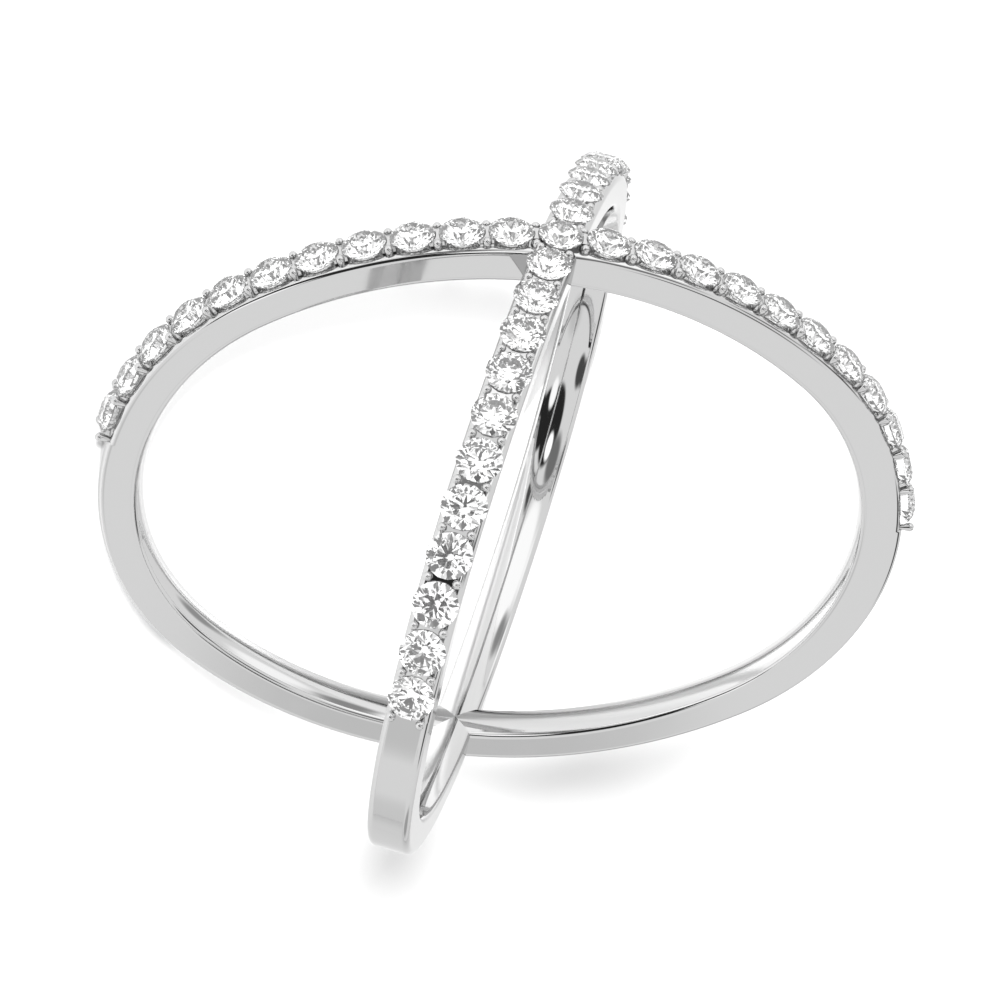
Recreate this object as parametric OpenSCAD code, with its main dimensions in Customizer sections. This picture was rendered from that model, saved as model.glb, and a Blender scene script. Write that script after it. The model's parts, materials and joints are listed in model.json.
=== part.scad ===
// Crossover ring: two tilted oval loops that cross at the front and at the back of the finger,
// soldered into one band, with a row of round brilliant stones along the front half of each loop.
// Z is the axis of the finger hole, the front crossing faces -Y, and the origin is the middle of the hole.
// The ring lies on its side, on the low end of each loop.

/* [Finger hole] */
// Diameter of the finger hole
finger_d = 17.3; // [15.3:0.1:19.8]
// Extra half width of the hole at the sides of the finger
side_room = 0.2; // [0.1:0.05:0.4]

/* [Loops] */
// Angle of each loop to the plane square to the finger
loop_tilt = 36.9; // [30:0.5:42]
// Width of the band of a loop
band_w = 1.3; // [1.25:0.05:1.6]
// Thickness of the plain band
band_t = 1.15; // [1:0.05:1.5]
// Bevel along the outer edges of the band
outer_bevel = 0.12; // [0.05:0.01:0.2]
// Bevel along the inner edges of the band
inner_bevel = 0.1; // [0.05:0.01:0.2]

/* [Stones] */
// Diameter of a stone
stone_d = 1.35; // [1.2:0.01:1.36]
// Number of stones on each arm, from the centre stone outwards
stones_per_arm = 11; // [6:1:12]
// Gap between the girdles of neighbouring stones
stone_gap = 0.09; // [0.08:0.005:0.15]
// Height of the crown of a stone, from the girdle to the table
crown_h = 0.2; // [0.15:0.01:0.25]
// Thickness of the girdle of a stone
girdle_t = 0.04; // [0.02:0.01:0.06]
// Depth of the pavilion of a stone, from the girdle to the point
pavilion_h = 0.57; // [0.5:0.01:0.6]
// Diameter of the table of a stone
table_d = 0.77; // [0.6:0.01:0.85]

/* [Setting] */
// Height of the centre stone's girdle over the finger side of the band
girdle_rise = 1.49; // [1.4:0.01:1.55]
// Drop of the girdle from the centre stone to the last stone of an arm
girdle_drop = 0.18; // [0:0.01:0.2]
// Depth of the floor of the setting below the girdle, where it is cut into the band
floor_drop = 0.27; // [0.22:0.01:0.32]
// Clearance between a stone and the metal around it
seat_clearance = 0.03; // [0.02:0.005:0.05]
// Diameter of the post of a prong under its bead
post_d = 0.25; // [0.2:0.01:0.26]
// Diameter of the post of a prong at its foot
foot_d = 0.16; // [0.12:0.01:0.2]
// Diameter of the bead on the top of a prong
bead_d = 0.28; // [0.26:0.01:0.29]
// Height of the bead's centre over the finger side of the band
bead_rise = 1.38; // [1.34:0.01:1.42]
// Distance of a prong from the middle line of the band
prong_side = 0.43; // [0.43:0.01:0.5]

/* [Hidden] */
// Depth to which the finger hole is bored into the loops at the two crossings
bore_cut = 0.05;
finger_r = finger_d / 2;
// Each loop is an oval of four arcs, a tighter one round each end and a flatter one along each flank.
// Neighbouring arcs meet on a line through both of their centres, so they run on without a corner.
short_r = finger_r - bore_cut;
// Half the difference between the oval's two half widths, to a whole micrometre
oval_step = round(500 * ((finger_r + side_room) / cos(loop_tilt) - short_r)) / 1000;
// Direction of the line on which two arcs meet, along the long and along the short axis
join_long = 0.6;
join_short = sqrt(1 - join_long * join_long);
join_angle = asin(join_long);
// Distance between the centres of two neighbouring arcs
centre_span = 2 * oval_step / (join_long + join_short - 1);
end_centre = centre_span * join_long;
end_r = short_r + 2 * oval_step - end_centre;
flank_centre = centre_span * join_short;
flank_r = short_r + flank_centre;
// Length of the wedges that cut the arcs, past every part of the ring
reach = 2 * finger_d;
// The stones are spaced along this line over the finger side of the band
path_rise = girdle_rise - girdle_drop / 2;
stone_r = stone_d / 2;
pitch = stone_d + stone_gap;
floor_lap = 1.06;
floor_w = 1.2 * band_w;
prong_root = 0.3;

// Each arm: name, side of the tilt, and direction along the long axis of its loop
ARMS = [["left", 1, 1], ["right", 1, -1], ["front", -1, 1], ["rear", -1, -1]];
function arm_name(arm) = arm[0];
function arm_tilt(arm) = arm[1] * loop_tilt;
function arm_side(arm) = arm[2];
function stone_name(arm, k) = str("stone_", arm_name(arm), "_", k);

// Turn from the front crossing, in degrees, at a distance along the path of the stones
flank_arc = (flank_r + path_rise) * join_angle * PI / 180;
function path_turn(s) = s <= flank_arc
    ? s / (flank_r + path_rise) * 180 / PI
    : join_angle + (s - flank_arc) / (end_r + path_rise) * 180 / PI;
// Point of the finger side of the band at that turn: along the long axis, then along the short axis
function wall_point(turn) = turn <= join_angle
    ? [flank_r * sin(turn), flank_r * cos(turn) - flank_centre]
    : [end_centre + end_r * sin(turn), end_r * cos(turn)];
function girdle_at(k) = girdle_rise - girdle_drop * min(1, k / stones_per_arm);
function floor_at(k) = min(band_t, girdle_at(k) - floor_drop);

// Places its children at a distance of k stones along an arm, at a height over the finger side,
// with Z outwards, X along the arm and Y across the band
module along_arm(arm, k, height = 0) {
    turn = path_turn(k * pitch);
    wall = wall_point(turn);
    rotate([0, arm_tilt(arm), 0])
        translate([arm_side(arm) * wall[0], -wall[1], 0])
            rotate([0, 0, arm_side(arm) * turn - 90])
                rotate([90, 0, 90])
                    translate([0, 0, height])
                        children();
}

// Section of the band: the distance outwards, then across the band
module band_section(inner_r) {
    w = band_w / 2;
    translate([inner_r, 0])
        polygon([
            [inner_bevel, -w], [band_t - outer_bevel, -w], [band_t, outer_bevel - w],
            [band_t, w - outer_bevel], [band_t - outer_bevel, w], [inner_bevel, w],
            [0, w - inner_bevel], [0, inner_bevel - w]
        ]);
}

module arc_of_band(inner_r, wedge) {
    intersection() {
        rotate_extrude($fn = 360) band_section(inner_r);
        linear_extrude(height = 2 * band_w, center = true) polygon(wedge);
    }
}

// One quarter turn wide arc at each end of the long axis and a flatter one across each flank
module oval_loop() {
    end_wedge = [[0, 0], [join_long * reach, -join_short * reach], [join_long * reach, join_short * reach]];
    flank_wedge = [[0, 0], [join_long * reach, join_short * reach], [-join_long * reach, join_short * reach]];
    for (side = [0, 180]) rotate([0, 0, side]) {
        translate([end_centre, 0, 0]) arc_of_band(end_r, end_wedge);
        translate([0, -flank_centre, 0]) arc_of_band(flank_r, flank_wedge);
    }
}

module loops() {
    rotate([0, loop_tilt, 0]) oval_loop();
    rotate([0, -loop_tilt, 0]) oval_loop();
}

// The flat floor under one stone, cut across the band
module floor_cut(length) {
    translate([-length / 2, -floor_w / 2, 0]) cube([length, floor_w, band_t]);
}

// The cone under one stone, clear of the facets that stand out between its point and its girdle
module seat_cut() {
    depth = girdle_t / 2 + pavilion_h + 2 * seat_clearance;
    translate([0, 0, -depth])
        cylinder(h = depth, r1 = 0, r2 = stone_r + 2 * seat_clearance, $fn = 48);
}

module prong(height) {
    translate([0, 0, -prong_root])
        cylinder(h = prong_root + height, d1 = foot_d, d2 = post_d, $fn = 24);
    translate([0, 0, height]) sphere(d = bead_d, $fn = 24);
}

module prong_pair(arm, k) {
    for (side = [-1, 1])
        along_arm(arm, k, floor_at(k))
            translate([0, side * prong_side, 0]) prong(bead_rise - floor_at(k));
}

module band() {
    color("gainsboro") {
        difference() {
            loops();
            cylinder(h = reach, r = finger_r, center = true, $fn = 360);
            for (arm = ARMS) {
                for (k = [1:stones_per_arm]) {
                    along_arm(arm, k, floor_at(k)) floor_cut(pitch * floor_lap);
                    along_arm(arm, k, girdle_at(k)) seat_cut();
                }
                along_arm(arm, 0, floor_at(0)) floor_cut(pitch * floor_lap);
            }
            along_arm(ARMS[0], 0, girdle_rise) seat_cut();
        }
        for (arm = ARMS) for (k = [0:stones_per_arm]) prong_pair(arm, k + 0.5);
    }
}

// A ring of points at even angles, from half a step on when half is 0.5
function ring(n, r, z, half = 0) =
    [for (i = [0:n - 1]) [r * cos(360 * (i + half) / n), r * sin(360 * (i + half) / n), z]];

// Round brilliant with its girdle's upper edge at the height of half the girdle
module brilliant() {
    mains = 8;
    half_step = cos(180 / mains);
    top = girdle_t / 2;
    table_r = table_d / 2;
    star_r = (table_r * half_step + stone_r) / 2;
    star_z = top + crown_h * (stone_r - star_r * half_step) / (stone_r - table_r);
    lower_r = stone_r / 4;
    lower_z = -top - pavilion_h * (1 - lower_r * half_step / stone_r);
    points = concat(
        ring(mains, table_r, top + crown_h),
        ring(mains, star_r, star_z, 0.5),
        ring(2 * mains, stone_r, top),
        ring(2 * mains, stone_r, -top),
        ring(mains, lower_r, lower_z, 0.5),
        [[0, 0, -top - pavilion_h]]);
    star = mains;
    upper = 2 * mains;
    lower = 4 * mains;
    half = 6 * mains;
    culet = 7 * mains;
    faces = concat(
        [[for (i = [mains - 1:-1:0]) i]],
        [for (i = [0:mains - 1]) let (n = (i + 1) % mains) [i, n, star + i]],
        [for (i = [0:mains - 1]) let (p = (i + mains - 1) % mains)
            [i, star + i, upper + 2 * i, star + p]],
        [for (i = [0:mains - 1]) [star + i, upper + 2 * i + 1, upper + 2 * i]],
        [for (i = [0:mains - 1]) let (n = (i + 1) % mains)
            [star + i, upper + 2 * n, upper + 2 * i + 1]],
        [for (j = [0:2 * mains - 1]) let (n = (j + 1) % (2 * mains))
            [upper + j, upper + n, lower + n, lower + j]],
        [for (i = [0:mains - 1]) [half + i, lower + 2 * i, lower + 2 * i + 1]],
        [for (i = [0:mains - 1]) let (n = (i + 1) % mains)
            [half + i, lower + 2 * i + 1, lower + 2 * n]],
        [for (i = [0:mains - 1]) let (p = (i + mains - 1) % mains)
            [culet, half + p, lower + 2 * i, half + i]]);
    rotate([0, 0, 90 / mains]) polyhedron(points = points, faces = faces);
}

module stone(arm, k) {
    color("white") along_arm(arm, k, girdle_at(k)) brilliant();
}

band();
stone(ARMS[0], 0);  // stone_centre
for (arm = ARMS) for (k = [1:stones_per_arm])
    stone(arm, k);
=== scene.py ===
"""Crossover ring: a polished white gold band of two crossing oval loops, with rows of round brilliants.

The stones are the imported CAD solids. The band is built again here on the same four-arc ovals, with
rounded edges, a crowned finger side, low walls between the seats and tapered prongs. It is worked out in
millimetres and scaled once it is whole. The camera, the lamps and the floor are in metres from the start.
"""
import json
import math

import bpy
from mathutils import Matrix, Vector

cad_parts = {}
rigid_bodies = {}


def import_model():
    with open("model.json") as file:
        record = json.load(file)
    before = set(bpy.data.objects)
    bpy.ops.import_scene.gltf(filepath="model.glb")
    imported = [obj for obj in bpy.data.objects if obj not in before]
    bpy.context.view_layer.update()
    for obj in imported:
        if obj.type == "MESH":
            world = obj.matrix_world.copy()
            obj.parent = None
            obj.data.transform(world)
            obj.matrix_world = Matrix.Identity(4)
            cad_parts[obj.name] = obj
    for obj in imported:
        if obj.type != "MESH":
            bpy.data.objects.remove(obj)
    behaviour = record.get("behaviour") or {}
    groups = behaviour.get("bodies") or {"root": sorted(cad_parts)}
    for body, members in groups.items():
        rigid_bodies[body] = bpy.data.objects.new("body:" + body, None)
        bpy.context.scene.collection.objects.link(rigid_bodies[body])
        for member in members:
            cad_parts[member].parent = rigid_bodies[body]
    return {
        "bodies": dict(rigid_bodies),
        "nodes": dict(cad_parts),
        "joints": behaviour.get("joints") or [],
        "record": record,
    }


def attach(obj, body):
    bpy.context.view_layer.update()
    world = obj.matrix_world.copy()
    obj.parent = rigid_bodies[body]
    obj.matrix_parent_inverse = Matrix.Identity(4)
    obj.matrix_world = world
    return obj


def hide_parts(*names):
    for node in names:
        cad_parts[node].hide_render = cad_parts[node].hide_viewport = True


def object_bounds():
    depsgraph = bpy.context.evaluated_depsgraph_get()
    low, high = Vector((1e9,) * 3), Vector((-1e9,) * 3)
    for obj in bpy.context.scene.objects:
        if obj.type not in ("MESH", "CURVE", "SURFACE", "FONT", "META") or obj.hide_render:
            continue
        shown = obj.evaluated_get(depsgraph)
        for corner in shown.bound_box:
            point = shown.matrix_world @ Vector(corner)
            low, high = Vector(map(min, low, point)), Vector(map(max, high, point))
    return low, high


MM = 0.001

# The ovals, as in the solid model. Neighbouring arcs meet on a line whose sine and cosine are 0.6 and 0.8,
# which puts their centres and radii whole steps apart.
FINGER_R = 8.65
SIDE_ROOM = 0.2
BORE_CUT = 0.05
TILT = math.radians(36.9)
JOIN_SIN = 0.6
JOIN_COS = 0.8
JOIN_ANGLE = math.asin(JOIN_SIN)
SHORT_R = FINGER_R - BORE_CUT
OVAL_STEP = round(500 * ((FINGER_R + SIDE_ROOM) / math.cos(TILT) - SHORT_R)) / 1000
END_R = SHORT_R - OVAL_STEP
END_CENTRE = 3 * OVAL_STEP
FLANK_R = SHORT_R + 4 * OVAL_STEP
FLANK_CENTRE = 4 * OVAL_STEP

# The band, its stones and its beads, as in the solid model
BAND_W = 1.3
HALF_W = BAND_W / 2
BAND_T = 1.15
STONE_R = 0.675
PITCH = 1.44
STONES_PER_ARM = 11
GIRDLE_RISE = 1.49
GIRDLE_DROP = 0.18
PATH_RISE = GIRDLE_RISE - GIRDLE_DROP / 2
PRONG_SIDE = 0.43
BEAD_RISE = 1.38
BEAD_R = 0.14
# The arms, each with the side of its loop's tilt and its direction along the loop's long axis
LEFT, RIGHT, FRONT, REAR = (1, 1), (1, -1), (-1, 1), (-1, -1)
ARMS = [LEFT, RIGHT, FRONT, REAR]

# The plain section: peak and radius of the crown of the finger side, rise and radius of the inner edges,
# and radius of the outer edges
CROWN_PEAK = -0.08
CROWN_R = 1.35
INNER_EDGE_RISE = 0.15
INNER_EDGE_R = 0.20
OUTER_EDGE_R = 0.21
EDGE_STEPS = 8
# Slope of the finger side across the band, and how much further in it stands, at the ends of a loop
LEAN = 0.12
END_EXTRA = 0.2
# Sections in the sweep of a loop
LOOP_STEPS = 400

# The setting floor: its depth below the girdles, and its end, in stones from the centre
FLOOR_DROP = 0.23
FLOOR_END = STONES_PER_ARM + 0.53
# The step up to the plain band there: its start and end, and the room kept round it, in radians of turn
STEP_BEFORE = 0.0005
STEP_AFTER = 0.0035
STEP_ROOM = 0.008

# The seats: depth of the cone below the girdle, by how much it would be wider than the stone there, and by
# how much its straight rim is wider than the stone and stands over the girdle
SEAT_DEPTH = 0.65
CONE_ROOM = 0.06
RIM_ROOM = 0.015
RIM_RISE = 0.03
SEAT_SEGMENTS = 48

# The walls between the seats: depth below the floor, drop from the girdle, half thickness, and half width
# in general and next to the centre stone
WALL_ROOT = 0.2
WALL_DROP = 0.03
WALL_HALF_T = 0.2
WALL_HALF_W = 0.4
CENTRE_WALL_HALF_W = 0.27

# The posts of the prongs: depth and radius of the root, radius at the floor, and radius of the neck and its
# drop from the centre of the bead
ROOT_DEPTH = 0.3
ROOT_R = 0.06
FOOT_R = 0.078
NECK_R = 0.118
NECK_DROP = 0.10
BEAD_STEPS = 8
PRONG_SEGMENTS = 20

# Surfaces of the band. Each has a material of its own until the normals are set.
SURFACES = range(5)
LOOP_A, LOOP_B, SEAT, PRONG, WALL = SURFACES
MARKS = [bpy.data.materials.new("mark_%d" % surface) for surface in SURFACES]
# The side to which each loop is tilted
SIDES = {LOOP_A: 1, LOOP_B: -1}
# Least cosine between a smooth normal and the normal of its face
LEAST_MATCH = 0.2

# The camera: its place, and the direction of its line of sight and its roll about it, in degrees
CAMERA_PLACE = (0.085362, -0.089704, 0.079905)
CAMERA_AZIMUTH = 133.6003
CAMERA_ELEVATION = -32.8805
CAMERA_ROLL = 132.0934
CAMERA_LENS = 175.19

# Half width of the floor, and the size, place and power of the lamps, in metres and watts
FLOOR_HALF = 0.6
KEY_PLACE = (0.261, -0.346, 0.248)
KEY_SIZE = 0.04
KEY_POWER = 8.4
SPOT_HEIGHT = 0.06
SPOT_BLEND = 0.25
SPOT_R = 0.003

# The tent round the ring: radiance of its cloth, and the soft lamps, cards and dark gaps in it, each with
# azimuth, elevation, inner and outer radius, all in degrees, and radiance
TENT_BASE = 1.08
TENT = [
    # Dark gaps behind the camera
    (-36, 36, 20, 24, 0.03),
    (-25, 11, 14, 18, 0.03),
    (-66, 13, 6, 11, 0.1),
    (-74, 50, 8, 16, 0.25),
    # Soft lamps in them and beside them
    (-13, 23, 6, 10, 1.6),
    (-52, 38, 5, 9, 2.0),
    (-100, 16, 15, 23, 1.6),
    (-140, 13, 5, 12, 1.5),
    # Low grey cards
    (-122, 8, 3, 9, 0.4),
    (-167, 6, 4, 12, 0.45),
    # Cards beside and beyond the ring
    (61.5, 43, 1, 3.5, 0.82),
    (104, 12, 6, 14, 0.55),
    (80, 0, 1.5, 15, 0.94),
    (36, 26, 0, 17, 0.84),
    # High dark gaps, for the stones
    (130, 46, 8, 15, 0.1),
    (20, 74, 6, 10, 0.1),
    (-150, 58, 7, 12, 0.1),
    (-112, 64, 5, 9, 0.1),
]


# The shape of a loop

def path_turn(distance):
    """Turn of the band's normal from the front crossing, at a distance along the stones."""
    flank_arc = (FLANK_R + PATH_RISE) * JOIN_ANGLE
    if distance <= flank_arc:
        return distance / (FLANK_R + PATH_RISE)
    return JOIN_ANGLE + (distance - flank_arc) / (END_R + PATH_RISE)


def path_length(turn):
    """The inverse of path_turn."""
    if turn <= JOIN_ANGLE:
        return turn * (FLANK_R + PATH_RISE)
    return JOIN_ANGLE * (FLANK_R + PATH_RISE) + (turn - JOIN_ANGLE) * (END_R + PATH_RISE)


def oval_point(turn, rise):
    """Point along the long axis and towards the front, rise over the finger side of the band."""
    sine, cosine = math.sin(turn), math.cos(turn)
    if abs(cosine) >= JOIN_COS:
        return (FLANK_R + rise) * sine, (FLANK_R + rise) * cosine - math.copysign(FLANK_CENTRE, cosine)
    return math.copysign(END_CENTRE, sine) + (END_R + rise) * sine, (END_R + rise) * cosine


def oval_place(long, short):
    """Turn and rise of a point in the plane of a loop."""
    turn = math.atan2(long, short + math.copysign(FLANK_CENTRE, short))
    if abs(math.cos(turn)) >= JOIN_COS:
        return turn, math.hypot(long, short + math.copysign(FLANK_CENTRE, short)) - FLANK_R
    out = long - math.copysign(END_CENTRE, long)
    return math.atan2(out, short), math.hypot(out, short) - END_R


def tilt_matrix(side):
    """Turns the plane square to the finger into the plane of a loop."""
    return Matrix.Rotation(side * TILT, 3, "Y")


def girdle_at(k):
    """Height of the girdles over the finger side, at k stones from the centre."""
    return GIRDLE_RISE - GIRDLE_DROP * min(1.0, k / STONES_PER_ARM)


def floor_at(k):
    """Height of the setting floor over the finger side, at k stones from the centre."""
    return girdle_at(k) - FLOOR_DROP


def outer_shift(turn):
    """Outward move of the outer side from the plain band's, at a turn of the loop."""
    turn = abs((turn + math.pi) % (2 * math.pi) - math.pi)
    k = path_length(turn) / PITCH
    if k > FLOOR_END:
        return 0.0
    return floor_at(k) - BAND_T


def finger_shift(turn):
    """Outward move of the finger side from the solid model's, at a turn of the loop."""
    return -END_EXTRA * math.sin(turn) ** 2


def lean(turn, side):
    """Slope of the finger side across the band, at a turn of the loop."""
    return side * LEAN * math.sin(turn)


def arm_frame(arm, k):
    """Origin on the finger side of the band and axes (along the arm, across, outwards) at k stones."""
    side, direction = arm
    turn = path_turn(k * PITCH)
    long, short = oval_point(turn, 0.0)
    turned = tilt_matrix(side)
    origin = turned @ Vector((direction * long, -short, 0))
    out = turned @ Vector((direction * math.sin(turn), -math.cos(turn), 0))
    across = turned @ Vector((0, 0, 1))
    return origin, across.cross(out), across, out


# The section of the band

def rounded(corners, steps):
    """Points (rise, across) of a closed convex polygon with rounded corners, each with its normal."""
    result = []
    for i, (rise, across, radius) in enumerate(corners):
        here = Vector((rise, across))
        back = (Vector(corners[i - 1][:2]) - here).normalized()
        ahead = (Vector(corners[(i + 1) % len(corners)][:2]) - here).normalized()
        half = back.angle(ahead) / 2
        centre = here + (back + ahead).normalized() * (radius / math.sin(half))
        start = here + back * (radius / math.tan(half)) - centre
        end = here + ahead * (radius / math.tan(half)) - centre
        first = math.atan2(start.y, start.x)
        sweep = (math.atan2(end.y, end.x) - first + math.pi) % (2 * math.pi) - math.pi
        for j in range(steps + 1):
            angle = first + sweep * j / steps
            normal = Vector((math.cos(angle), math.sin(angle)))
            result.append((centre + normal * radius, normal))
    return result


SECTION = rounded([
    (CROWN_PEAK, 0.0, CROWN_R),
    (INNER_EDGE_RISE, -HALF_W, INNER_EDGE_R),
    (BAND_T, -HALF_W, OUTER_EDGE_R),
    (BAND_T, HALF_W, OUTER_EDGE_R),
    (INNER_EDGE_RISE, HALF_W, INNER_EDGE_R),
], EDGE_STEPS)


def section_normal(rise, across):
    """Normal of the section at its point nearest to (rise, across), not yet of unit length."""
    here = Vector((rise, across))
    least, normal = math.inf, None
    for (start, start_normal), (end, end_normal) in zip(SECTION, SECTION[1:] + SECTION[:1]):
        edge = end - start
        length = edge.length_squared
        share = 0.0 if length == 0 else max(0.0, min(1.0, (here - start).dot(edge) / length))
        gap = (here - start - edge * share).length_squared
        if gap < least:
            least, normal = gap, start_normal.lerp(end_normal, share)
    return normal


# The pieces of the band

def new_object(name, verts, faces, surface):
    """A mesh object in the scene, with all its faces marked as one surface of the band."""
    mesh = bpy.data.meshes.new(name)
    mesh.from_pydata([tuple(v) for v in verts], [], faces)
    for mark in MARKS:
        mesh.materials.append(mark)
    mesh.polygons.foreach_set("material_index", [surface] * len(faces))
    mesh.polygons.foreach_set("use_smooth", [True] * len(faces))
    obj = bpy.data.objects.new(name, mesh)
    bpy.context.scene.collection.objects.link(obj)
    return obj


def swept_loop(surface):
    """One loop of the band: the section carried round the oval, with the setting floor let in."""
    side = SIDES[surface]
    turned = tilt_matrix(side)
    end_turn = path_turn(FLOOR_END * PITCH)
    turns = [-math.pi + 2 * math.pi * i / LOOP_STEPS for i in range(LOOP_STEPS)]
    turns = [turn for turn in turns if abs(abs(turn) - end_turn) > STEP_ROOM]
    for turn in (end_turn - STEP_BEFORE, end_turn + STEP_AFTER):
        turns += [turn, -turn]
    turns.sort()
    verts, faces = [], []
    for turn in turns:
        shift = outer_shift(turn)
        slope, inner_shift = lean(turn, side), finger_shift(turn)
        for point, _ in SECTION:
            rise = point.x + (shift if point.x > BAND_T / 2 else slope * point.y + inner_shift)
            long, short = oval_point(turn, rise)
            verts.append(turned @ Vector((long, -short, point.y)))
    corners = len(SECTION)
    for i in range(len(turns)):
        here, ahead = i * corners, (i + 1) % len(turns) * corners
        for j in range(corners):
            beside = (j + 1) % corners
            faces.append((here + j, ahead + j, ahead + beside, here + beside))
    return new_object("loop", verts, faces, surface)


def add_revolved(verts, faces, frame, profile, segments):
    """Adds a closed solid of revolution about the outward axis of a frame, from (radius, height) points."""
    origin, along, across, out = frame
    foot = len(verts)
    verts.append(origin + out * profile[0][1])
    for radius, height in profile[1:-1]:
        for i in range(segments):
            angle = 2 * math.pi * i / segments
            spoke = along * math.cos(angle) + across * math.sin(angle)
            verts.append(origin + spoke * radius + out * height)
    top = len(verts)
    verts.append(origin + out * profile[-1][1])
    for i in range(segments):
        beside = (i + 1) % segments
        ring = foot + 1
        faces.append((foot, ring + beside, ring + i))
        while ring + segments < top:
            above = ring + segments
            faces.append((ring + i, ring + beside, above + beside, above + i))
            ring = above
        faces.append((ring + i, ring + beside, top))


def seats():
    """Cone seats, one for each stone, from below the stone's point to just over its girdle."""
    slope = (STONE_R + CONE_ROOM) / SEAT_DEPTH
    rim_r = STONE_R + RIM_ROOM
    top = SEAT_DEPTH + RIM_RISE
    profile = [(0, 0), (rim_r, rim_r / slope), (rim_r, top), (0, top)]
    verts, faces = [], []
    for arm in ARMS:
        for k in range(0 if arm == LEFT else 1, STONES_PER_ARM + 1):
            origin, along, across, out = arm_frame(arm, k)
            point = origin + out * (girdle_at(k) - SEAT_DEPTH)
            add_revolved(verts, faces, (point, along, across, out), profile, SEAT_SEGMENTS)
    return new_object("seats", verts, faces, SEAT)


def walls():
    """Low walls of metal between neighbouring stones, which the seats cut to a waist."""
    box_faces = ((0, 3, 2, 1), (4, 5, 6, 7), (0, 1, 5, 4), (1, 2, 6, 5), (2, 3, 7, 6), (3, 0, 4, 7))
    verts, faces = [], []
    for arm in ARMS:
        for k in range(STONES_PER_ARM):
            origin, along, across, out = arm_frame(arm, k + 0.5)
            low, high = floor_at(k + 0.5) - WALL_ROOT, girdle_at(k + 0.5) - WALL_DROP
            half_t, half_w = WALL_HALF_T, WALL_HALF_W if k else CENTRE_WALL_HALF_W
            base = len(verts)
            for height in (low, high):
                for x, y in ((-half_t, -half_w), (half_t, -half_w), (half_t, half_w), (-half_t, half_w)):
                    verts.append(origin + along * x + across * y + out * height)
            for face in box_faces:
                faces.append(tuple(base + i for i in face))
    return new_object("walls", verts, faces, WALL)


def prong_profile(height):
    """A post that widens from its root to a round bead, whose centre stands at a height over the floor."""
    profile = [(0, -ROOT_DEPTH), (ROOT_R, -ROOT_DEPTH), (FOOT_R, 0.0), (NECK_R, height - NECK_DROP)]
    neck_angle = math.pi - math.asin(NECK_R / BEAD_R)
    for i in range(1, BEAD_STEPS):
        angle = neck_angle - neck_angle * i / BEAD_STEPS
        profile.append((BEAD_R * math.sin(angle), height + BEAD_R * math.cos(angle)))
    profile.append((0, height + BEAD_R))
    return profile


def prongs(arms):
    """The prongs of some arms: a pair across the band after each stone, from the centre stone on."""
    verts, faces = [], []
    for arm in arms:
        for k in range(STONES_PER_ARM + 1):
            origin, along, across, out = arm_frame(arm, k + 0.5)
            floor = floor_at(k + 0.5)
            profile = prong_profile(BEAD_RISE - floor)
            for side in (-1, 1):
                foot = origin + across * (side * PRONG_SIDE) + out * floor
                add_revolved(verts, faces, (foot, along, across, out), profile, PRONG_SEGMENTS)
    return new_object("prongs", verts, faces, PRONG)


def combine(target, tool, operation):
    """Applies a Boolean to the target and removes the tool."""
    modifier = target.modifiers.new("combine", "BOOLEAN")
    modifier.object = tool
    modifier.operation = operation
    modifier.solver = "EXACT"
    modifier.material_mode = "INDEX"
    graph = bpy.context.evaluated_depsgraph_get()
    graph.update()
    mesh = bpy.data.meshes.new_from_object(target.evaluated_get(graph))
    target.modifiers.clear()
    spent = [target.data, tool.data]
    target.data = mesh
    bpy.data.objects.remove(tool)
    for old in spent:
        bpy.data.meshes.remove(old)


def loop_normal(point, side):
    """Normal of a loop at a point of its surface."""
    flat = tilt_matrix(-side) @ point
    turn, rise = oval_place(flat.x, -flat.y)
    if rise > BAND_T / 2:
        up = section_normal(rise - outer_shift(turn), flat.z)
    else:
        slope = lean(turn, side)
        up = section_normal(rise - slope * flat.z - finger_shift(turn), flat.z)
        up = Vector((up.x, up.y - slope * up.x)).normalized()
    out = Vector((math.sin(turn), -math.cos(turn), 0))
    return (tilt_matrix(side) @ (out * up.x + Vector((0, 0, up.y)))).normalized()


def set_normals(mesh):
    """Gives the loops their section's normals, smooths the seats and prongs, and keeps the walls flat."""
    sums = {}
    for face in mesh.polygons:
        if face.material_index in (SEAT, PRONG):
            for v in face.vertices:
                key = (v, face.material_index)
                sums[key] = sums.get(key, Vector()) + face.normal * face.area
    swept = {}
    normals = []
    for face in mesh.polygons:
        surface = face.material_index
        for v in face.vertices:
            key = (v, surface)
            if surface in SIDES:
                if key not in swept:
                    swept[key] = loop_normal(mesh.vertices[v].co, SIDES[surface])
                normal = swept[key]
            elif surface == WALL:
                normal = face.normal
            else:
                normal = sums[key].normalized()
            if normal.dot(face.normal) < LEAST_MATCH:
                normal = face.normal
            normals.append(tuple(normal))
    mesh.normals_split_custom_set(normals)


def build_band():
    """The whole band as one mesh in metres, without a material."""
    band = swept_loop(LOOP_A)
    combine(band, swept_loop(LOOP_B), "UNION")
    combine(band, walls(), "UNION")
    combine(band, seats(), "DIFFERENCE")
    combine(band, prongs([LEFT, RIGHT]), "UNION")
    combine(band, prongs([FRONT, REAR]), "UNION")
    mesh = band.data
    set_normals(mesh)
    mesh.transform(Matrix.Scale(MM, 4))
    mesh.materials.clear()
    mesh.polygons.foreach_set("material_index", [0] * len(mesh.polygons))
    for mark in MARKS:
        bpy.data.materials.remove(mark)
    band.name = "band_polished"
    mesh.name = "band_polished"
    return band


# The materials

def new_material(name):
    """A material and its shader."""
    material = bpy.data.materials.new(name)
    material.use_nodes = True
    tree = material.node_tree
    tree.nodes.clear()
    shader = tree.nodes.new("ShaderNodeBsdfPrincipled")
    output = tree.nodes.new("ShaderNodeOutputMaterial")
    tree.links.new(shader.outputs["BSDF"], output.inputs["Surface"])
    return material, shader


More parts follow.
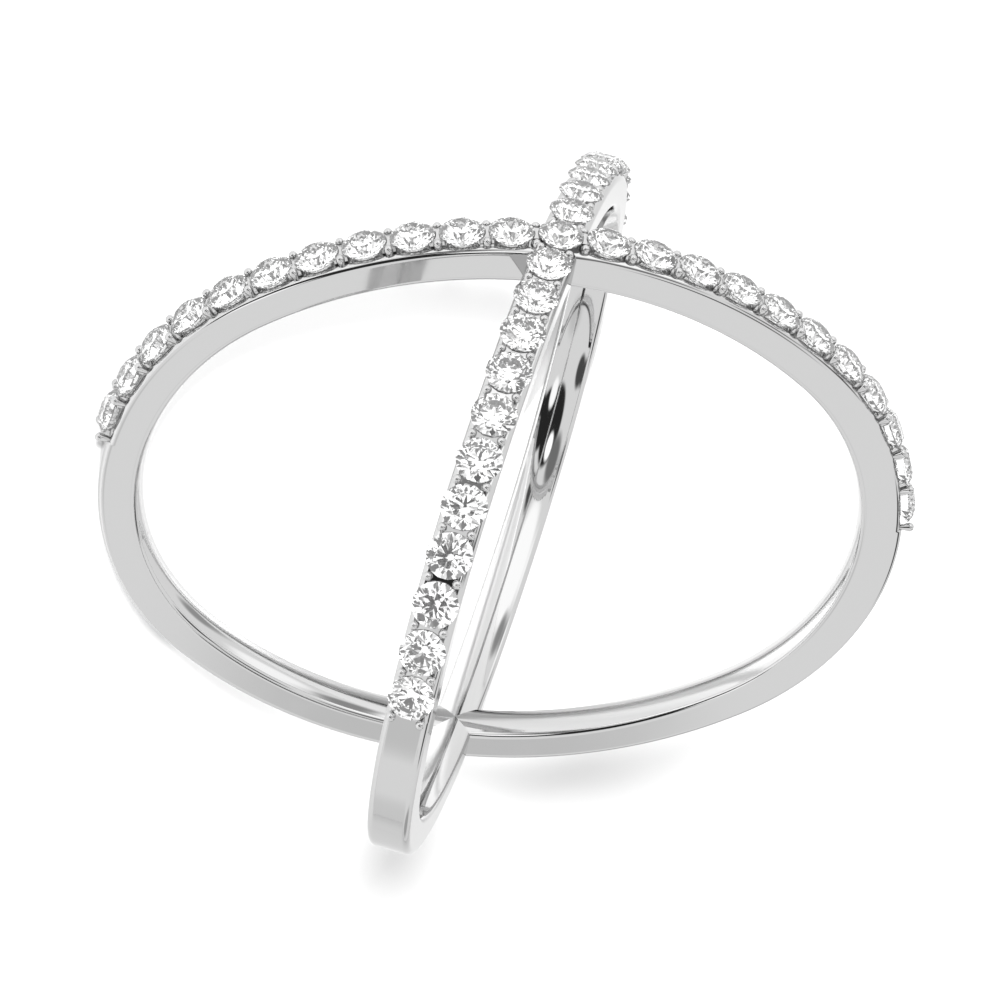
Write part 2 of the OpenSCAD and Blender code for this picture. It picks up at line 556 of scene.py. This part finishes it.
def noise(tree, scale, detail):
    """Values of a noise in the object's own metres."""
    place = tree.nodes.new("ShaderNodeTexCoord")
    texture = tree.nodes.new("ShaderNodeTexNoise")
    texture.inputs["Scale"].default_value = scale
    texture.inputs["Detail"].default_value = detail
    tree.links.new(place.outputs["Object"], texture.inputs["Vector"])
    return texture.outputs["Fac"]


def spread(tree, source, start, end, low, high):
    """Values from low to high where the source goes from start to end."""
    node = tree.nodes.new("ShaderNodeMapRange")
    node.inputs["From Min"].default_value = start
    node.inputs["From Max"].default_value = end
    node.inputs["To Min"].default_value = low
    node.inputs["To Max"].default_value = high
    tree.links.new(source, node.inputs["Value"])
    return node.outputs["Result"]


def white_gold():
    """Polished metal with faint polishing waves and slightly uneven gloss."""
    material, shader = new_material("white_gold_polished")
    tree = material.node_tree
    shader.inputs["Base Color"].default_value = (0.60, 0.60, 0.60, 1)
    shader.inputs["Metallic"].default_value = 1.0
    shader.inputs["Specular Tint"].default_value = (0.76, 0.76, 0.76, 1)
    gloss = noise(tree, scale=900.0, detail=3.0)
    roughness = spread(tree, gloss, start=0.3, end=0.7, low=0.03, high=0.07)
    tree.links.new(roughness, shader.inputs["Roughness"])
    wave = noise(tree, scale=500.0, detail=1.0)
    bump = tree.nodes.new("ShaderNodeBump")
    bump.inputs["Strength"].default_value = 0.02
    bump.inputs["Distance"].default_value = 0.00005
    tree.links.new(wave, bump.inputs["Height"])
    tree.links.new(bump.outputs["Normal"], shader.inputs["Normal"])
    return material


def diamond():
    """Clear stone with flat facets, and a faint painted glow that brightens it from within."""
    material, shader = new_material("diamond_clear")
    shader.inputs["Base Color"].default_value = (1, 1, 1, 1)
    shader.inputs["Roughness"].default_value = 0.0
    shader.inputs["IOR"].default_value = 2.42
    shader.inputs["Transmission Weight"].default_value = 1.0
    shader.inputs["Specular Tint"].default_value = (0.5, 0.5, 0.5, 1)
    # Painted light: a faint emission makes the stone glow, brightening it as if lit from within.
    shader.inputs["Emission Color"].default_value = (1, 1, 1, 1)
    shader.inputs["Emission Strength"].default_value = 0.03
    return material


def pale_floor():
    """Matt, very slightly uneven, and bright enough by itself to leave only soft shadows."""
    material, shader = new_material("floor_pale")
    tree = material.node_tree
    tone = noise(tree, scale=60.0, detail=2.0)
    grey = spread(tree, tone, start=0.0, end=1.0, low=0.33, high=0.37)
    tree.links.new(grey, shader.inputs["Base Color"])
    shader.inputs["Roughness"].default_value = 0.6
    shader.inputs["Emission Color"].default_value = (1, 1, 1, 1)
    shader.inputs["Emission Strength"].default_value = 0.34
    return material


# The stage

def toward(azimuth, elevation):
    """Unit vector. The azimuth is counted from +X towards +Y, in degrees."""
    a, e = math.radians(azimuth), math.radians(elevation)
    return Vector((math.cos(e) * math.cos(a), math.cos(e) * math.sin(a), math.sin(e)))


def make_camera():
    """The photo's viewpoint, rolled about its line of sight because the ring lies on its side."""
    data = bpy.data.cameras.new("camera")
    data.lens = CAMERA_LENS
    data.sensor_width = 36.0
    data.clip_start = 0.005
    data.clip_end = 10.0
    camera = bpy.data.objects.new("camera", data)
    bpy.context.scene.collection.objects.link(camera)
    ahead = toward(CAMERA_AZIMUTH, CAMERA_ELEVATION)
    level = ahead.cross(Vector((0, 0, 1))).normalized()
    roll = math.radians(CAMERA_ROLL)
    right = level * math.cos(roll) + level.cross(ahead) * math.sin(roll)
    turned = Matrix((right, right.cross(ahead), -ahead)).transposed().to_4x4()
    camera.matrix_world = Matrix.Translation(CAMERA_PLACE) @ turned
    bpy.context.scene.camera = camera


def make_floor(height):
    """A square floor under the ring."""
    half = FLOOR_HALF
    mesh = bpy.data.meshes.new("floor")
    corners = [(x, y, height) for x, y in ((-half, -half), (half, -half), (half, half), (-half, half))]
    mesh.from_pydata(corners, [], [(0, 1, 2, 3)])
    mesh.materials.append(pale_floor())
    obj = bpy.data.objects.new("floor", mesh)
    bpy.context.scene.collection.objects.link(obj)


def new_lamp(name, kind, place, power):
    """A lamp that doesn't show in the metal or in the stones."""
    data = bpy.data.lights.new(name, kind)
    data.energy = power
    lamp = bpy.data.objects.new(name, data)
    bpy.context.scene.collection.objects.link(lamp)
    lamp.location = place
    lamp.visible_glossy = False
    lamp.visible_transmission = False
    return lamp


def key_lamp():
    """A square lamp behind the camera, aimed at the middle of the ring."""
    lamp = new_lamp("key", "AREA", KEY_PLACE, KEY_POWER)
    lamp.data.shape = "RECTANGLE"
    lamp.data.size = KEY_SIZE
    lamp.data.size_y = KEY_SIZE
    lamp.rotation_euler = (-Vector(KEY_PLACE)).to_track_quat("-Z", "Y").to_euler()


def floor_spot(name, x, y, width, power):
    """A soft lamp over the ring that lights a round of the floor straight under it."""
    lamp = new_lamp(name, "SPOT", (x, y, SPOT_HEIGHT), power)
    lamp.data.spot_size = width
    lamp.data.spot_blend = SPOT_BLEND
    lamp.data.shadow_soft_size = SPOT_R


def make_world():
    """The tent, in which each lamp, card or gap lies over those listed before it."""
    world = bpy.data.worlds.new("studio")
    bpy.context.scene.world = world
    world.use_nodes = True
    nodes, links = world.node_tree.nodes, world.node_tree.links
    nodes.clear()
    back = nodes.new("ShaderNodeBackground")
    out = nodes.new("ShaderNodeOutputWorld")
    links.new(back.outputs["Background"], out.inputs["Surface"])
    place = nodes.new("ShaderNodeTexCoord")
    level = None
    for azimuth, elevation, inner, outer, radiance in TENT:
        dot = nodes.new("ShaderNodeVectorMath")
        dot.operation = "DOT_PRODUCT"
        dot.inputs[1].default_value = toward(azimuth, elevation)
        links.new(place.outputs["Generated"], dot.inputs[0])
        mask = nodes.new("ShaderNodeMapRange")
        mask.interpolation_type = "SMOOTHSTEP"
        mask.inputs["From Min"].default_value = math.cos(math.radians(outer))
        mask.inputs["From Max"].default_value = math.cos(math.radians(inner))
        links.new(dot.outputs["Value"], mask.inputs["Value"])
        mix = nodes.new("ShaderNodeMix")
        links.new(mask.outputs["Result"], mix.inputs["Factor"])
        if level is None:
            mix.inputs["A"].default_value = TENT_BASE
        else:
            links.new(level, mix.inputs["A"])
        mix.inputs["B"].default_value = radiance
        level = mix.outputs["Result"]
    links.new(level, back.inputs["Color"])


bpy.context.scene.view_settings.view_transform = "Standard"
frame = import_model()
cad_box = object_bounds()
make_camera()
make_world()
make_floor(cad_box[0][2])
key_lamp()
floor_spot("fill_right", x=-0.0285, y=0.0175, width=0.35, power=0.2)
floor_spot("fill_far", x=-0.009, y=0.011, width=0.35, power=0.25)
floor_spot("fill_near", x=0.004, y=0.002, width=0.30, power=0.18)

band = build_band()
band.data.materials.append(white_gold())
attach(band, "root")
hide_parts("band")

stone_material = diamond()
for name in frame["nodes"]:
    if name.startswith("stone"):
        for slot in frame["nodes"][name].material_slots:
            slot.material = stone_material
